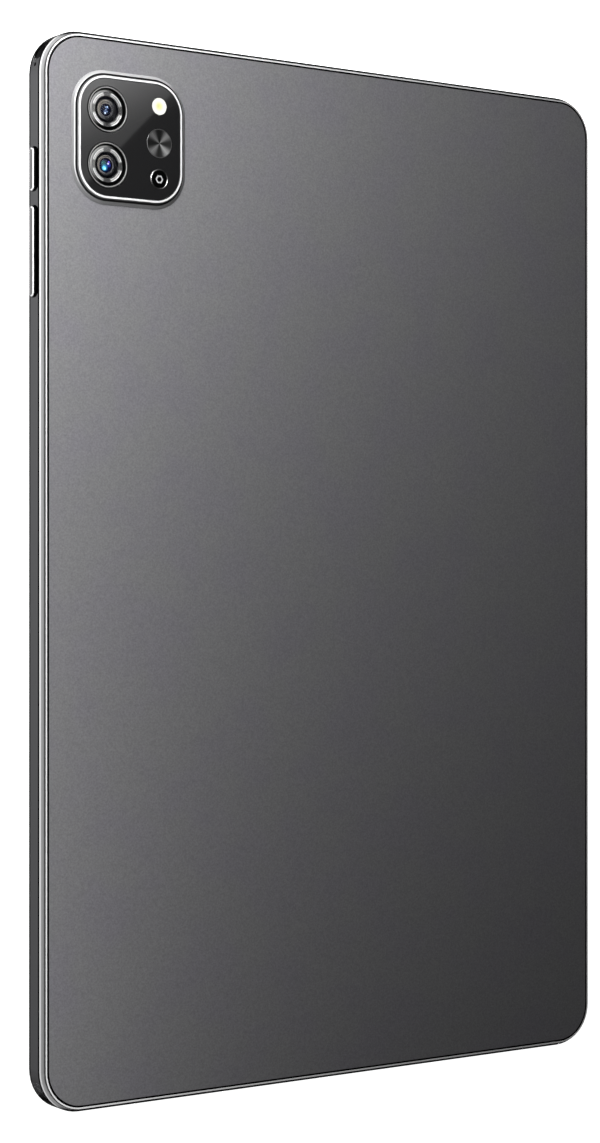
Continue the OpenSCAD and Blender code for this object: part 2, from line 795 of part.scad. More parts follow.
front_glass();
screen_adhesive();
display_panel();
backlight_unit();
display_flex();
touch_flex();
mid_frame();
side_frame();
rear_cover();
cover_adhesive();
graphite_sheet();
camera_ring();
camera_glass();
upper_lens_ring();
lower_lens_ring();
upper_lens_glass();
lower_lens_glass();
flash_lens();
spun_disc();
badge_ring();
flash_board();
main_camera_module();
main_lens_barrel();
depth_camera_module();
camera_bracket();
main_camera_flex();
front_camera();
light_sensor();
main_board();
processor();
memory_chip();
cpu_shield();
radio_shield();
sub_board();
link_flex();
battery_left();
battery_right();
battery_board();
battery_cable();
battery_tape();
power_key();
volume_key();
key_domes();
key_flex();
key_bracket();
headphone_jack();
microphones();
usb_c_shell();
usb_c_tongue();
left_speaker();
right_speaker();
speaker_meshes();
sim_tray();
sim_reader();
sim_eject_rod();
sim_eject_lever();
wifi_antenna();
antenna_cable();
board_screws();
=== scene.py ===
import json
import math

import bmesh
import bpy
from mathutils import Matrix, Vector


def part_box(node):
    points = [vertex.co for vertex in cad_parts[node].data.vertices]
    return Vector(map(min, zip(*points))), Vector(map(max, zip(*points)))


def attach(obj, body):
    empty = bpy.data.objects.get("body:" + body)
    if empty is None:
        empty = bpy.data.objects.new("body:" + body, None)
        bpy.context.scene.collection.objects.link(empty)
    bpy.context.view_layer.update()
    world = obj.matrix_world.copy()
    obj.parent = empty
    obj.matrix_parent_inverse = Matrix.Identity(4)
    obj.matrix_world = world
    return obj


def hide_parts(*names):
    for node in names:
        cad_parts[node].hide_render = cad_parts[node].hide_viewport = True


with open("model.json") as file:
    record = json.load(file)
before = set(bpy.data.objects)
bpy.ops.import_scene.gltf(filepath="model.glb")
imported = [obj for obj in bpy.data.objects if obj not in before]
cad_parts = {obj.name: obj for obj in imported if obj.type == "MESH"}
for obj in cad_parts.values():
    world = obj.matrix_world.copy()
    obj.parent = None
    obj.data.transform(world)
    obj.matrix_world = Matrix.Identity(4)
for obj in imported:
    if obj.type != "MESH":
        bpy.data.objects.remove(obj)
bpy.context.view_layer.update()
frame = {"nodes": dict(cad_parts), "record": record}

mm = 0.001
weld = 0.0000001        # points nearer than this, in metres, are one point
creaseAngle = 32        # edges sharper than this, in degrees, are shaded as edges
nodes = frame["nodes"]
scene = bpy.context.scene
scene.view_settings.view_transform = "Standard"   # plain display, so white paper stays white


# shader helpers: maths on sockets reads as ordinary sums

class Sock:
    def __init__(self, finish, out):
        self.finish, self.out = finish, out

    def __add__(self, other):
        return self.finish.sum("ADD", self, other)

    def __sub__(self, other):
        return self.finish.sum("SUBTRACT", self, other)

    def __rsub__(self, other):
        return self.finish.sum("SUBTRACT", other, self)

    def __mul__(self, other):
        return self.finish.sum("MULTIPLY", self, other)

    def __truediv__(self, other):
        return self.finish.sum("DIVIDE", self, other)

    def __abs__(self):
        return self.finish.sum("ABSOLUTE", self)

    __radd__ = __add__
    __rmul__ = __mul__

    def top(self, other):
        return self.finish.sum("MAXIMUM", self, other)

    def root(self):
        return self.finish.sum("SQRT", self)

    def wave(self, period=math.tau):
        # 0 to 1 and back, once in each period
        return 0.5 + 0.5 * self.finish.sum("SINE", self * (math.tau / period))

    def step(self, start, end):
        # 0 before start, 1 after end, a smooth rise between
        return self.finish.add("ShaderNodeMapRange", {"interpolation_type": "SMOOTHSTEP"},
                               {0: self, 1: start, 2: end, 3: 0.0, 4: 1.0})

    def rise(self, zone, base=0.0):
        # a step over a zone of two heights or depths, measured from base
        return self.step(base + zone[0], base + zone[1])

    def band(self, start, end, soft):
        # 1 between start and end, fading over soft on both sides
        return self.step(start - soft, start) * (1 - self.step(end, end + soft))


class Finish:
    def __init__(self, name):
        self.material = bpy.data.materials.new(name)
        self.material.use_nodes = True
        self.tree = self.material.node_tree
        self.tree.nodes.clear()

    def add(self, kind, settings=None, inputs=None, out=0):
        node = self.tree.nodes.new(kind)
        for key, value in (settings or {}).items():
            setattr(node, key, value)
        for key, value in (inputs or {}).items():
            if isinstance(value, Sock):
                self.tree.links.new(value.out, node.inputs[key])
            else:
                node.inputs[key].default_value = value
        return Sock(self, node.outputs[out])

    def sum(self, operation, *values):
        return self.add("ShaderNodeMath", {"operation": operation}, dict(enumerate(values)))

    def place(self):
        # where the point is in the shared frame at rest, in metres
        return self.add("ShaderNodeTexCoord", out=3)

    def facing(self):
        # which way the surface faces
        return self.add("ShaderNodeTexCoord", out=1)

    def split(self, vector):
        node = self.tree.nodes.new("ShaderNodeSeparateXYZ")
        self.tree.links.new(vector.out, node.inputs[0])
        return [Sock(self, o) for o in node.outputs]

    def inMm(self):
        return [axis * 1000 for axis in self.split(self.place())]

    def around(self, centre):
        # distance from an upright axis, and the offsets from it along X and Y, in mm
        x, y = self.inMm()[:2]
        dx, dy = x - centre[0], y - centre[1]
        return (dx * dx + dy * dy).root(), dx, dy

    def turn(self, dx, dy):
        # angle about the axis that dx and dy are measured from
        return self.sum("ARCTAN2", dy, dx)

    def noise(self, scale, detail=2.0, stretch=None):
        where = self.place()
        if stretch:
            where = self.add("ShaderNodeMapping", None, {"Vector": where, "Scale": stretch})
        return self.add("ShaderNodeTexNoise", None, {"Vector": where, "Scale": scale, "Detail": detail})

    def cells(self, scale):
        # distance from the nearest of many scattered points
        return self.add("ShaderNodeTexVoronoi", None, {"Vector": self.place(), "Scale": scale})

    def mix(self, amount, first, second):
        values = {0: amount}
        for slot, colour in ((6, first), (7, second)):
            values[slot] = colour if isinstance(colour, Sock) else (*colour, 1.0)
        return self.add("ShaderNodeMix", {"data_type": "RGBA"}, values, out=2)

    def tint(self, colour, value):
        # a colour made lighter or darker by a number
        return self.add("ShaderNodeVectorMath", {"operation": "SCALE"}, {0: colour, 3: value})

    def bump(self, height, depth, strength):
        return self.add("ShaderNodeBump", None, {"Height": height, "Distance": depth, "Strength": strength})

    def surface(self, **values):
        inputs = {}
        for key, value in values.items():
            label = key[0].upper() + "".join(" " + c if c.isupper() else c for c in key[1:])
            label = {"Shine": "Specular IOR Level"}.get(label, label)
            if label in ("Base Color", "Emission Color", "Specular Tint") and not isinstance(value, Sock):
                value = (*value, 1.0)
            inputs[label] = value
        shader = self.add("ShaderNodeBsdfPrincipled", None, inputs)
        output = self.tree.nodes.new("ShaderNodeOutputMaterial")
        self.tree.links.new(shader.out, output.inputs[0])
        return self.material

    def insideOutline(self, x, y, halfW, halfL, corner):
        # how far a point lies inside a rounded rectangle's outline, in mm
        dx = (abs(x) - (halfW - corner)).top(0)
        dy = (abs(y) - (halfL - corner)).top(0)
        return corner - (dx * dx + dy * dy).root()


# sizes that the looks share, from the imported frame

def middle(node):
    low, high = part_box(node)
    return (low + high) / 2 / mm


overlap = 0.01        # how far, in mm, joined shapes run into each other
bandDrop = 1.53       # from the back down to the foot of the frame's slanted band
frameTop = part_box("side_frame")[1] / mm
body = {"halfW": frameTop.x, "halfL": frameTop.y, "corner": 10.0, "backZ": frameTop.z,
        "bandZ": frameTop.z - bandDrop}
islandLow, islandHigh = [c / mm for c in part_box("camera_ring")]
islandAt = (islandLow + islandHigh) / 2
island = {"rimZ": islandHigh.z, "corner": 8.6, "halfW": (islandHigh.x - islandLow.x) / 2,
          "halfL": (islandHigh.y - islandLow.y) / 2}
lensAt = {side: middle(side + "_lens_ring") for side in ("upper", "lower")}
flashAt = middle("flash_lens")
discAt = middle("spun_disc")
badgeAt = middle("badge_ring")


# camera, lights and paper floor

def lookAlong(direction, upward):
    back = -Vector(direction).normalized()
    right = Vector(upward).cross(back).normalized()
    up = back.cross(right)
    return Matrix((right, up, back)).transposed()


# turned in degrees about Y, standing off the back's middle and moved sideways by metres
view = {"turn": 34.6, "distance": 0.6023, "offset": 0.00883, "lens": 79.24, "sensor": 36.0, "clip": 0.01}


def makeCamera():
    turn = math.radians(view["turn"])
    data = bpy.data.cameras.new("viewCamera")
    data.sensor_fit = "VERTICAL"
    data.sensor_height = view["sensor"]
    data.lens = view["lens"]
    data.clip_start = view["clip"]
    camera = bpy.data.objects.new("viewCamera", data)
    scene.collection.objects.link(camera)
    along = Vector((math.sin(turn), 0, -math.cos(turn)))
    across = Vector((math.cos(turn), 0, math.sin(turn)))
    target = Vector((0, 0, body["backZ"] * mm))
    camera.location = target - along * view["distance"] - across * view["offset"]
    camera.rotation_euler = (0, -turn, 0)
    scene.camera = camera


# places and sizes in metres, powers in watts
lights = {
    "softBox": {"at": (0.384, 0.636, 1.2), "aim": (0.384, 0.636, 0), "up": (1, 1, 0), "size": (0.8, 0.8),
                "power": 1.6},
    "cornerLamp": {"at": (-0.13, 0.165, 0.1), "aim": (-0.07, 0.1, 0), "up": (0, 1, 0), "size": (0.06, 0.1),
                   "power": 0.31},
    "upperLamp": {"at": (-0.16, 0.19, 0.13), "aim": (-0.07, 0.1, 0), "up": (0, 1, 0), "size": (0.06, 0.1),
                  "power": 0.43},
    "edgeStrip": {"at": (-0.125, 0, 0.07), "aim": (-0.09, 0, 0), "up": (0, 1, 0), "size": (0.03, 0.36),
                  "power": 0.317},
    "endLamp": {"at": (-0.06, 0.26, 0.12), "aim": (-0.02, 0.1, 0), "up": (0, 0, 1), "size": (0.2, 0.06),
                "power": 0.33},
}


def makeLights():
    for name, look in lights.items():
        data = bpy.data.lights.new(name, "AREA")
        data.shape = "RECTANGLE"
        data.size, data.size_y = look["size"]
        data.energy = look["power"]
        lamp = bpy.data.objects.new(name, data)
        lamp.location = look["at"]
        lamp.rotation_euler = lookAlong(Vector(look["aim"]) - Vector(look["at"]), look["up"]).to_euler()
        lamp.visible_camera = False
        scene.collection.objects.link(lamp)


# brightness towards +Y and -Y and overhead, and the heights between which it dims
room = {"far": 0.4, "near": 0.12, "turnOver": 0.25, "high": 0.012, "lowEnd": 0.1, "highStart": 0.5}


def makeRoom():
    # pale near the floor, brighter towards +Y, and dim overhead
    world = bpy.data.worlds.new("room")
    scene.world = world
    world.use_nodes = True
    tree = world.node_tree
    background = tree.nodes["Background"]
    coord = tree.nodes.new("ShaderNodeTexCoord")
    split = tree.nodes.new("ShaderNodeSeparateXYZ")
    tree.links.new(coord.outputs["Generated"], split.inputs[0])
    along = tree.nodes.new("ShaderNodeMapRange")
    upward = tree.nodes.new("ShaderNodeMapRange")
    for node, axis, values in ((along, 1, (-room["turnOver"], room["turnOver"], room["near"], room["far"])),
                               (upward, 2, (room["lowEnd"], room["highStart"], 1.0, 0.0))):
        node.interpolation_type = "SMOOTHSTEP"
        tree.links.new(split.outputs[axis], node.inputs[0])
        for i, value in enumerate(values):
            node.inputs[i + 1].default_value = value
    glow = tree.nodes.new("ShaderNodeMath")
    glow.operation = "MULTIPLY_ADD"
    tree.links.new(along.outputs[0], glow.inputs[0])
    tree.links.new(upward.outputs[0], glow.inputs[1])
    glow.inputs[2].default_value = room["high"]
    tree.links.new(glow.outputs[0], background.inputs[0])


# the floor glows less on the -Y side; the change takes place within reach of the middle
paper = {"size": 6.0, "below": 0.2, "white": (0.14, 0.14, 0.14), "glow": 2.2, "near": 0.49, "reach": 0.16}


def makeFloor():
    bm = bmesh.new()
    bmesh.ops.create_grid(bm, x_segments=2, y_segments=2, size=paper["size"])
    bmesh.ops.translate(bm, verts=bm.verts, vec=(0, 0, -paper["below"] * mm))
    mesh = bpy.data.meshes.new("paperFloor")
    bm.to_mesh(mesh)
    bm.free()
    floor = bpy.data.objects.new("paperFloor", mesh)
    scene.collection.objects.link(floor)
    m = Finish("whitePaper")
    fibre = m.noise(60, 3.0)
    y = m.split(m.place())[1]
    glow = m.mix(y.step(-paper["reach"], paper["reach"]), (paper["near"],) * 3, (1.0, 1.0, 1.0))
    mesh.materials.append(m.surface(baseColor=m.tint(paper["white"], 0.98 + fibre * 0.04), roughness=0.9,
                                    emissionColor=glow, emissionStrength=paper["glow"]))


# mesh helpers

def turned(outline, centre, steps=96, rounding=0.0, onAxis=False):
    # spins an outline of (radius, height) points, in mm, about an upright axis at centre
    bm = bmesh.new()
    points = [bm.verts.new((r * mm, 0, z * mm)) for r, z in outline]
    pairs = list(zip(points, points[1:]))
    if not onAxis:
        pairs.append((points[-1], points[0]))
    lines = [bm.edges.new(pair) for pair in pairs]
    bmesh.ops.spin(bm, geom=points + lines, cent=(0, 0, 0), axis=(0, 0, 1), angle=math.tau,
                   steps=steps, use_merge=True)
    bmesh.ops.remove_doubles(bm, verts=bm.verts, dist=weld)
    bmesh.ops.recalc_face_normals(bm, faces=bm.faces)
    if rounding:
        roundEdges(bm, rounding)
    bmesh.ops.translate(bm, verts=bm.verts, vec=(centre[0] * mm, centre[1] * mm, 0))
    return bm


def roundEdges(bm, size, above=28, segments=2, where=None):
    edges = [e for e in bm.edges if e.is_manifold and e.calc_face_angle() > math.radians(above)]
    if where:
        edges = [e for e in edges if where(e)]
    bmesh.ops.bevel(bm, geom=edges, offset=size * mm, offset_type="OFFSET", segments=segments, profile=0.5,
                    affect="EDGES", material=-1, clamp_overlap=True)


def stadiumBlock(outX, inX, y, z, length, height, edge=0.0):
    # a block with round ends along Y, from outX inwards to inX, its outer rim bevelled
    bm = bmesh.new()
    sides = 48
    facingOut = Matrix.Rotation(math.radians(-90), 4, "Y") @ Matrix.Rotation(math.pi / sides, 4, "Z")
    radius = height / 2 * mm
    ring = bmesh.ops.create_circle(bm, cap_ends=True, radius=radius, segments=sides, matrix=facingOut)
    stretch = (length - height) / 2 * mm
    for v in ring["verts"]:
        v.co.y += math.copysign(stretch, v.co.y)
    front = list(bm.faces)
    back = bmesh.ops.extrude_face_region(bm, geom=front)["geom"]
    moved = [v for v in back if isinstance(v, bmesh.types.BMVert)]
    bmesh.ops.translate(bm, verts=moved, vec=((inX - outX) * mm, 0, 0))
    bmesh.ops.recalc_face_normals(bm, faces=bm.faces)
    if edge:
        roundEdges(bm, edge, above=60, segments=3, where=lambda e: all(abs(v.co.x) < weld for v in e.verts))
    bmesh.ops.translate(bm, verts=bm.verts, vec=(outX * mm, y * mm, z * mm))
    return bm


def join(*parts):
    # several closed shapes as one mesh
    whole = bmesh.new()
    for bm in parts:
        mesh = bpy.data.meshes.new("part")
        bm.to_mesh(mesh)
        bm.free()
        whole.from_mesh(mesh)
        bpy.data.meshes.remove(mesh)
    return whole


def makePiece(name, bm, material, rides="chassis", replaced=()):
    mesh = bpy.data.meshes.new(name)
    bm.normal_update()
    bm.to_mesh(mesh)
    bm.free()
    mesh.materials.append(material)
    mesh.shade_smooth()
    mesh.set_sharp_from_angle(angle=math.radians(creaseAngle))
    piece = bpy.data.objects.new(name, mesh)
    scene.collection.objects.link(piece)
    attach(piece, rides)
    if replaced:
        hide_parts(*replaced)
    return piece


# finishes of the shell, with painted light and shade

# edge is how far in from the outline the painted gap shade reaches, and leftEdge is what the long left side
# adds
coverLook = {
    "grey": (0.103, 0.1025, 0.1055), "violet": (0.101, 0.0985, 0.1075), "gap": (0.0006, 0.0006, 0.0006),
    "edge": 1.58, "leftEdge": 0.13, "leftSide": (70, 76), "soft": 0.02,
    "metal": 0.1, "rough": 0.42, "grain": 0.6, "shine": 0.15,
}


def coverSatin():
    m = Finish("coverSatin")
    x, y = m.inMm()[:2]
    depth = m.insideOutline(x, y, body["halfW"], body["halfL"], body["corner"])
    patches = m.noise(90, 3.0).step(0.35, 0.7)
    grain = m.noise(2600, 1.0)
    colour = m.mix(patches, coverLook["grey"], coverLook["violet"])
    colour = m.tint(colour, 1 - coverLook["grain"] / 2 + grain * coverLook["grain"])
    edge = coverLook["edge"] + coverLook["leftEdge"] * (-1 * x).rise(coverLook["leftSide"])
    # painted shade: a near black strip along the back's edge, wider than the real gap and wider on the long
    # left side
    onTop = depth.step(edge - coverLook["soft"], edge + coverLook["soft"])
    colour = m.mix(onTop, coverLook["gap"], colour)
    rough = coverLook["rough"] - 0.02 + grain * 0.04
    return m.surface(baseColor=colour, metallic=1 - (1 - coverLook["metal"]) * onTop, roughness=rough,
                     shine=coverLook["shine"], normal=m.bump(grain, 0.00002, 0.3))


frameLook = {
    "wall": (0.094, 0.094, 0.096), "wallCornerShade": (0.003, 0.003, 0.003), "wallEndShade": (0.05, 0.05, 0.051),
    "bandLight": (0.235, 0.235, 0.238), "bandFootHighlight": (0.5, 0.5, 0.505), "bandEndShade": (0.004, 0.004, 0.004),
    "ringFar": (0.45, 0.45, 0.455), "ringNear": (0.62, 0.62, 0.625), "recessShade": (0.001, 0.001, 0.001),
    "grazing": (0.05, 0.05, 0.05),
}
# where one tone gives way to the next, the painted light and shade included: heights from the band's foot or
# from the back, depths in from the outline, and how squarely a wall faces along Y
frameZones = {
    "band": (0.06, 0.14), "bandTop": (0.4, 0.55), "underBandShade": (-0.6, -0.48), "foot": (1.9, 2.1),
    "ringTop": (-0.04, -0.01), "seam": (-0.28, -0.16),
    "ringIn": (0.8, 0.86), "recessShade": (0.02, 0.1), "inner": (1.17, 1.19),
    "wallTurn": (0.42, 0.75), "wallEndShade": (0.93, 0.99), "bandTurn": (0.72, 0.88), "ringTone": (-110, 100),
}


def frameMetal():
    m = Finish("frameMetal")
    x, y, z = m.inMm()
    onEnd = abs(m.split(m.facing())[1])
    depth = m.insideOutline(x, y, body["halfW"], body["halfL"], body["corner"])
    zones = frameZones
    onBand = z.rise(zones["band"], body["bandZ"])
    onRing = z.rise(zones["ringTop"], body["backZ"]) * depth.rise(zones["ringIn"])
    bandFootHighlight = 1 - z.rise(zones["bandTop"], body["bandZ"])
    underBandShade = z.rise(zones["underBandShade"], body["bandZ"])
    foot = 1 - z.rise(zones["foot"])
    seam = z.rise(zones["seam"], body["backZ"])
    inRecessShade = depth.rise(zones["recessShade"]) * (1 - onBand)
    grain = m.noise(1400, 2.0)
    # painted shade: the wall is coloured near black where it turns round the corners and darker on the two
    # ends, by which way it faces
    wall = m.mix(onEnd.rise(zones["wallTurn"]), frameLook["wall"], frameLook["wallCornerShade"])
    wall = m.mix(onEnd.rise(zones["wallEndShade"]), wall, frameLook["wallEndShade"])
    # painted shade: a dark line under the band and a darker strip along the wall's foot
    wall = m.tint(wall, (1 - 0.88 * underBandShade) * (1 - 0.6 * foot))
    # painted light and shade: a painted highlight along the band's foot, the band painted light on its long
    # sides and near black where it turns to the ends
    band = m.mix(bandFootHighlight, frameLook["bandLight"], frameLook["bandFootHighlight"])
    band = m.mix(onEnd.rise(zones["bandTurn"]), band, frameLook["bandEndShade"])
    # painted shade: the band is darker in the groove just below the back's top
    band = m.tint(band, 1 - 0.75 * seam)
    # painted light: the polished ring is paler towards -Y and darker towards +Y
    ring = m.mix(y.rise(zones["ringTone"]), frameLook["ringNear"], frameLook["ringFar"])
    colour = m.mix(onBand, wall, band)
    # painted shade: recesses such as the key dishes and port openings are coloured near black
    colour = m.mix(inRecessShade, colour, frameLook["recessShade"])
    colour = m.mix(onRing, colour, ring)
    # painted shade: the ring's inner wall at the gap is coloured near black
    colour = m.mix(depth.rise(zones["inner"]), colour, frameLook["recessShade"])
    colour = m.tint(colour, 0.96 + grain * 0.08)
    rough = 0.36 - onBand * 0.06 - onRing * 0.08 + grain * 0.05
    return m.surface(baseColor=colour, metallic=1 - onRing * 0.75, roughness=rough,
                     specularTint=frameLook["grazing"], normal=m.bump(m.noise(2400, 1.0), 0.00001, 0.3))


islandLook = {
    "skirt": (0.2, 0.2, 0.202), "skirtLeft": (0.05, 0.05, 0.051), "skirtDark": (0.09, 0.09, 0.092),
    "lip": (0.2, 0.2, 0.203), "slope": (0.06, 0.06, 0.061), "grooveShade": (0.001, 0.001, 0.001),
    "rim": (0.4, 0.4, 0.405), "glass": (0.0045, 0.0045, 0.0047), "glassCornerReflection": (0.036, 0.036, 0.0365),
}
# depths in from the island's outline, as the start and end of each stretch
islandZones = {"lip": (0.52, 0.72), "ledge": (0.74, 1.14), "slope": (1.1, 1.2), "inside": (1.78, 1.84)}


def islandMetal():
    m = Finish("islandMetal")
    x, y, z = m.inMm()
    nx, ny = m.split(m.facing())[:2]
    out = m.insideOutline(x - islandAt.x, y - islandAt.y, island["halfW"], island["halfL"], island["corner"])
    onRim = z.step(island["rimZ"] - 0.12, island["rimZ"] - 0.06)
    ledge = out.band(*islandZones["ledge"], 0.04)
    # painted highlight: a pale line round the skirt, left out where it faces -Y
    lip = out.band(*islandZones["lip"], 0.05) * (1 - (-1 * ny).step(0.1, 0.5))
    grain = m.noise(1600, 2.0)
    # painted light and shade: the skirt is coloured by which way it faces, palest facing +Y and darkest
    # facing -X
    colour = m.mix((-1 * nx).step(0.2, 0.7), islandLook["skirtDark"], islandLook["skirtLeft"])
    colour = m.mix(ny.step(0.1, 0.7), colour, islandLook["skirt"])
    colour = m.mix(out.rise(islandZones["slope"]), colour, islandLook["slope"])
    colour = m.mix(lip, colour, islandLook["lip"])
    # painted shade: the ledge outside the rim and the gap inside it are coloured near black
    colour = m.mix(ledge, colour, islandLook["grooveShade"])
    colour = m.mix(onRim, colour, islandLook["rim"])
    colour = m.mix(out.rise(islandZones["inside"]), colour, islandLook["grooveShade"])
    return m.surface(baseColor=m.tint(colour, 0.95 + grain * 0.1), metallic=0.1, shine=0.15,
                     roughness=0.34 - onRim * 0.12 + grain * 0.04)


def islandGlass():
    # black glass with a painted reflection that pales it towards its upper left corner
    m = Finish("islandGlass")
    x, y = m.inMm()[:2]
    corner = (0.9 * (y - islandAt.y) - 0.45 * (x - islandAt.x)).step(1.0, 18.0)
    haze = m.noise(300, 2.0)
    colour = m.tint(m.mix(corner, islandLook["glass"], islandLook["glassCornerReflection"]), 0.95 + haze * 0.1)
    return m.surface(baseColor=colour, metallic=0.0, shine=0.1, roughness=0.3, coatWeight=1.0,
                     coatRoughness=0.02)


# lenses: a turned ring, a thin window, a stepped barrel and a coated front element

lens = {
    "rim": 5.12, "rimW": 0.36, "coneR": 4.4, "coneTop": 3.9, "flareIn": 3.02, "boreR": 2.95,
    "footZ": 7.3, "grooveZ": 8.0, "coneZ": 8.36, "flareZ": 8.3, "windowZ": 8.38, "windowT": 0.05,
    "windowDome": 0.03,
    "barrelR": 2.85, "noseR": 2.34, "neckZ": 7.1, "noseZ": 7.85,
}


def lensRingShape(at):
    top = island["rimZ"]
    inner = lens["rim"] - lens["rimW"]
    outline = [
        (lens["boreR"], lens["footZ"]), (lens["rim"], lens["footZ"]), (lens["rim"], top - 0.08),
        (lens["rim"] - 0.06, top), (inner + 0.06, top), (inner, top - 0.08), (inner - 0.02, lens["grooveZ"]),
        (lens["coneR"] + 0.02, lens["grooveZ"]), (lens["coneR"], lens["coneZ"] - 0.22),
        (lens["coneTop"], lens["coneZ"]), (lens["coneTop"] - 0.06, lens["flareZ"]),
        (lens["flareIn"], lens["flareZ"] - 0.2), (lens["boreR"], lens["flareZ"] - 0.3),
    ]
    return turned(outline, at, rounding=0.025)


def lensMetal(name, at):
    m = Finish(name)
    r, dx, dy = m.around(at)
    # painted light and highlights: four bright lobes with fine lines on the flare ring, and the rim, cone
    # and flare paler on the side towards -X and +Y
    lobeHighlights = (4 * m.turn(dx, dy) - math.pi / 2).wave().step(0.14, 0.42)
    leftward = (0.47 * dy - 0.88 * dx) / r
    lit = leftward.step(-0.5, 0.9)
    rim = r.band(lens["rim"] - 0.34, lens["rim"] - 0.1, 0.03) * (0.11 + 0.04 * abs(leftward))
    cone = r.band(lens["coneTop"], lens["coneR"], 0.02) * leftward.step(0.0, 0.7) * 0.085
    flare = r.band(lens["flareIn"] + 0.02, lens["coneTop"] - 0.04, 0.02)
    fine = m.noise(700, 2.0)
    lines = 0.15 + r.band(3.6, 3.84, 0.04) + 0.75 * r.band(3.26, 3.44, 0.04)
    shade = 0.0008 + rim + cone + flare * (0.025 + 0.085 * lit + (0.26 + 0.2 * lit) * lobeHighlights * lines)
    colour = m.tint((1.0, 1.0, 0.99), shade * (0.92 + fine * 0.16))
    return m.surface(baseColor=colour, metallic=0.3, shine=0.06, roughness=0.34 + fine * 0.06,
                     normal=m.bump(r.wave(0.09), 0.000006, 0.25))


def windowGlass():
    m = Finish("windowGlass")
    smear = m.noise(260, 2.0)
    return m.surface(baseColor=m.mix(smear, (0.003, 0.003, 0.006), (0.006, 0.006, 0.01)), metallic=0.0,
                     roughness=0.04, alpha=0.04 + smear * 0.02, coatWeight=0.0)


def windowShape(at):
    # flat below and very slightly domed above
    radius = lens["coneTop"]
    low = lens["windowZ"]
    high = low + lens["windowT"]
    return turned([(0, low), (radius, low), (radius, high), (0, high + lens["windowDome"])], at, onAxis=True)


def barrelShape(at, footZ, footR, pupilR):
    nose = lens["noseZ"]
    outline = [
        (0, footZ), (footR, footZ), (footR, lens["neckZ"]), (lens["noseR"], lens["neckZ"]),
        (lens["noseR"], nose - 0.1), (lens["noseR"] - 0.1, nose), (pupilR + 0.36, nose - 0.06),
        (pupilR + 0.32, nose - 0.12), (pupilR + 0.05, nose - 0.16), (pupilR + 0.02, nose - 0.45),
        (0, nose - 0.45),
    ]
    return turned(outline, at, rounding=0.015, onAxis=True)


def barrelBlack(name, at, pupilR):
    m = Finish(name)
    r, dx, dy = m.around(at)
    # painted light: the shelf and inner ring are paler and warmer on the side towards -X and +Y
    lit = ((0.6 * dy - 0.8 * dx) / r).step(-0.9, 1.0)
    shelf = r.band(pupilR + 0.42, 2.26, 0.03)
    inner = r.band(pupilR + 0.06, pupilR + 0.3, 0.03)
    warm = m.mix(lit, (0.9, 0.92, 1.0), (1.0, 0.93, 0.84))
    fine = m.noise(900, 2.0)
    shade = 0.0008 + shelf * (0.006 + 0.1 * lit) + inner * (0.03 + 0.08 * lit)
    colour = m.tint(warm, shade * (0.9 + fine * 0.2))
    return m.surface(baseColor=colour, metallic=0.2, shine=0.08, roughness=0.42,
                     normal=m.bump(r.wave(0.12), 0.000005, 0.2))


def pupilShape(at, radius, crown=0.24):
    # a domed front element, its arc in steps of ten degrees
    low = lens["noseZ"] - 0.44
    angles = [math.radians(a) for a in range(90, -1, -10)]
    arc = [(radius * math.sin(a), low + crown * math.cos(a)) for a in angles]
    return turned([(0, low - 0.02)] + arc, at, steps=64, onAxis=True)


# each patch of painted reflection on a front element's coating, glints included: its offset along X and Y,
# its size and its colour
pupilLook = {
    "upper": {"radius": 1.4, "deep": (0.001, 0.002, 0.008), "patches": [
        (0.3, 0.5, 0.5, (0.02, 0.04, 0.1)),
        (-0.1, -0.4, 0.6, (0.03, 0.05, 0.11)),
        (0.42, 0.68, 0.26, (0.32, 0.4, 0.5)),
        (-0.05, 0.62, 0.2, (0.14, 0.18, 0.24)),
        (-0.16, -0.72, 0.3, (0.5, 0.56, 0.62)),
        (0.36, -0.35, 0.22, (0.12, 0.17, 0.26)),
        (0.05, 0.02, 0.2, (0.16, 0.22, 0.32)),
    ]},
    "lower": {"radius": 1.66, "deep": (0.001, 0.002, 0.014), "patches": [
        (-0.5, 0.4, 0.9, (0.01, 0.045, 0.045)),
        (0.7, 0.2, 0.8, (0.008, 0.012, 0.1)),
        (-0.3, -0.5, 0.95, (0.012, 0.11, 0.22)),
        (-0.42, -0.62, 0.62, (0.1, 0.4, 0.52)),
        (-0.2, -0.75, 0.3, (0.34, 0.62, 0.66)),
        (0.62, 0.42, 0.3, (0.45, 0.45, 0.62)),
        (0.85, 0.85, 0.3, (0.08, 0.05, 0.3)),
    ]},
}


def pupilGlass(side):
    look = pupilLook[side]
    m = Finish(side + "PupilGlass")
    r, dx, dy = m.around(lensAt[side])
    rim = r.step(look["radius"] - 0.35, look["radius"])
    colour = m.mix(rim, look["deep"], (0.004, 0.003, 0.008))
    # painted reflections: the coloured patches and glints laid on the coating
    for px, py, size, glow in look["patches"]:
        ox, oy = dx - px, dy - py
        spot = 1 - (ox * ox + oy * oy).root().step(size * 0.3, size)
        colour = m.mix(spot, colour, glow)
    return m.surface(baseColor=colour, metallic=0.0, shine=0.2, roughness=0.12, coatWeight=0.5,
                     coatRoughness=0.03)


# what each barrel rides on, its foot, and the node that it stands for
barrels = {
    "upper": {"rides": "chassis", "footZ": 6.42, "footR": lens["noseR"], "replaced": ()},
    "lower": {"rides": "focus_barrel", "footZ": 3.2, "footR": lens["barrelR"],
              "replaced": ("main_lens_barrel",)},
}


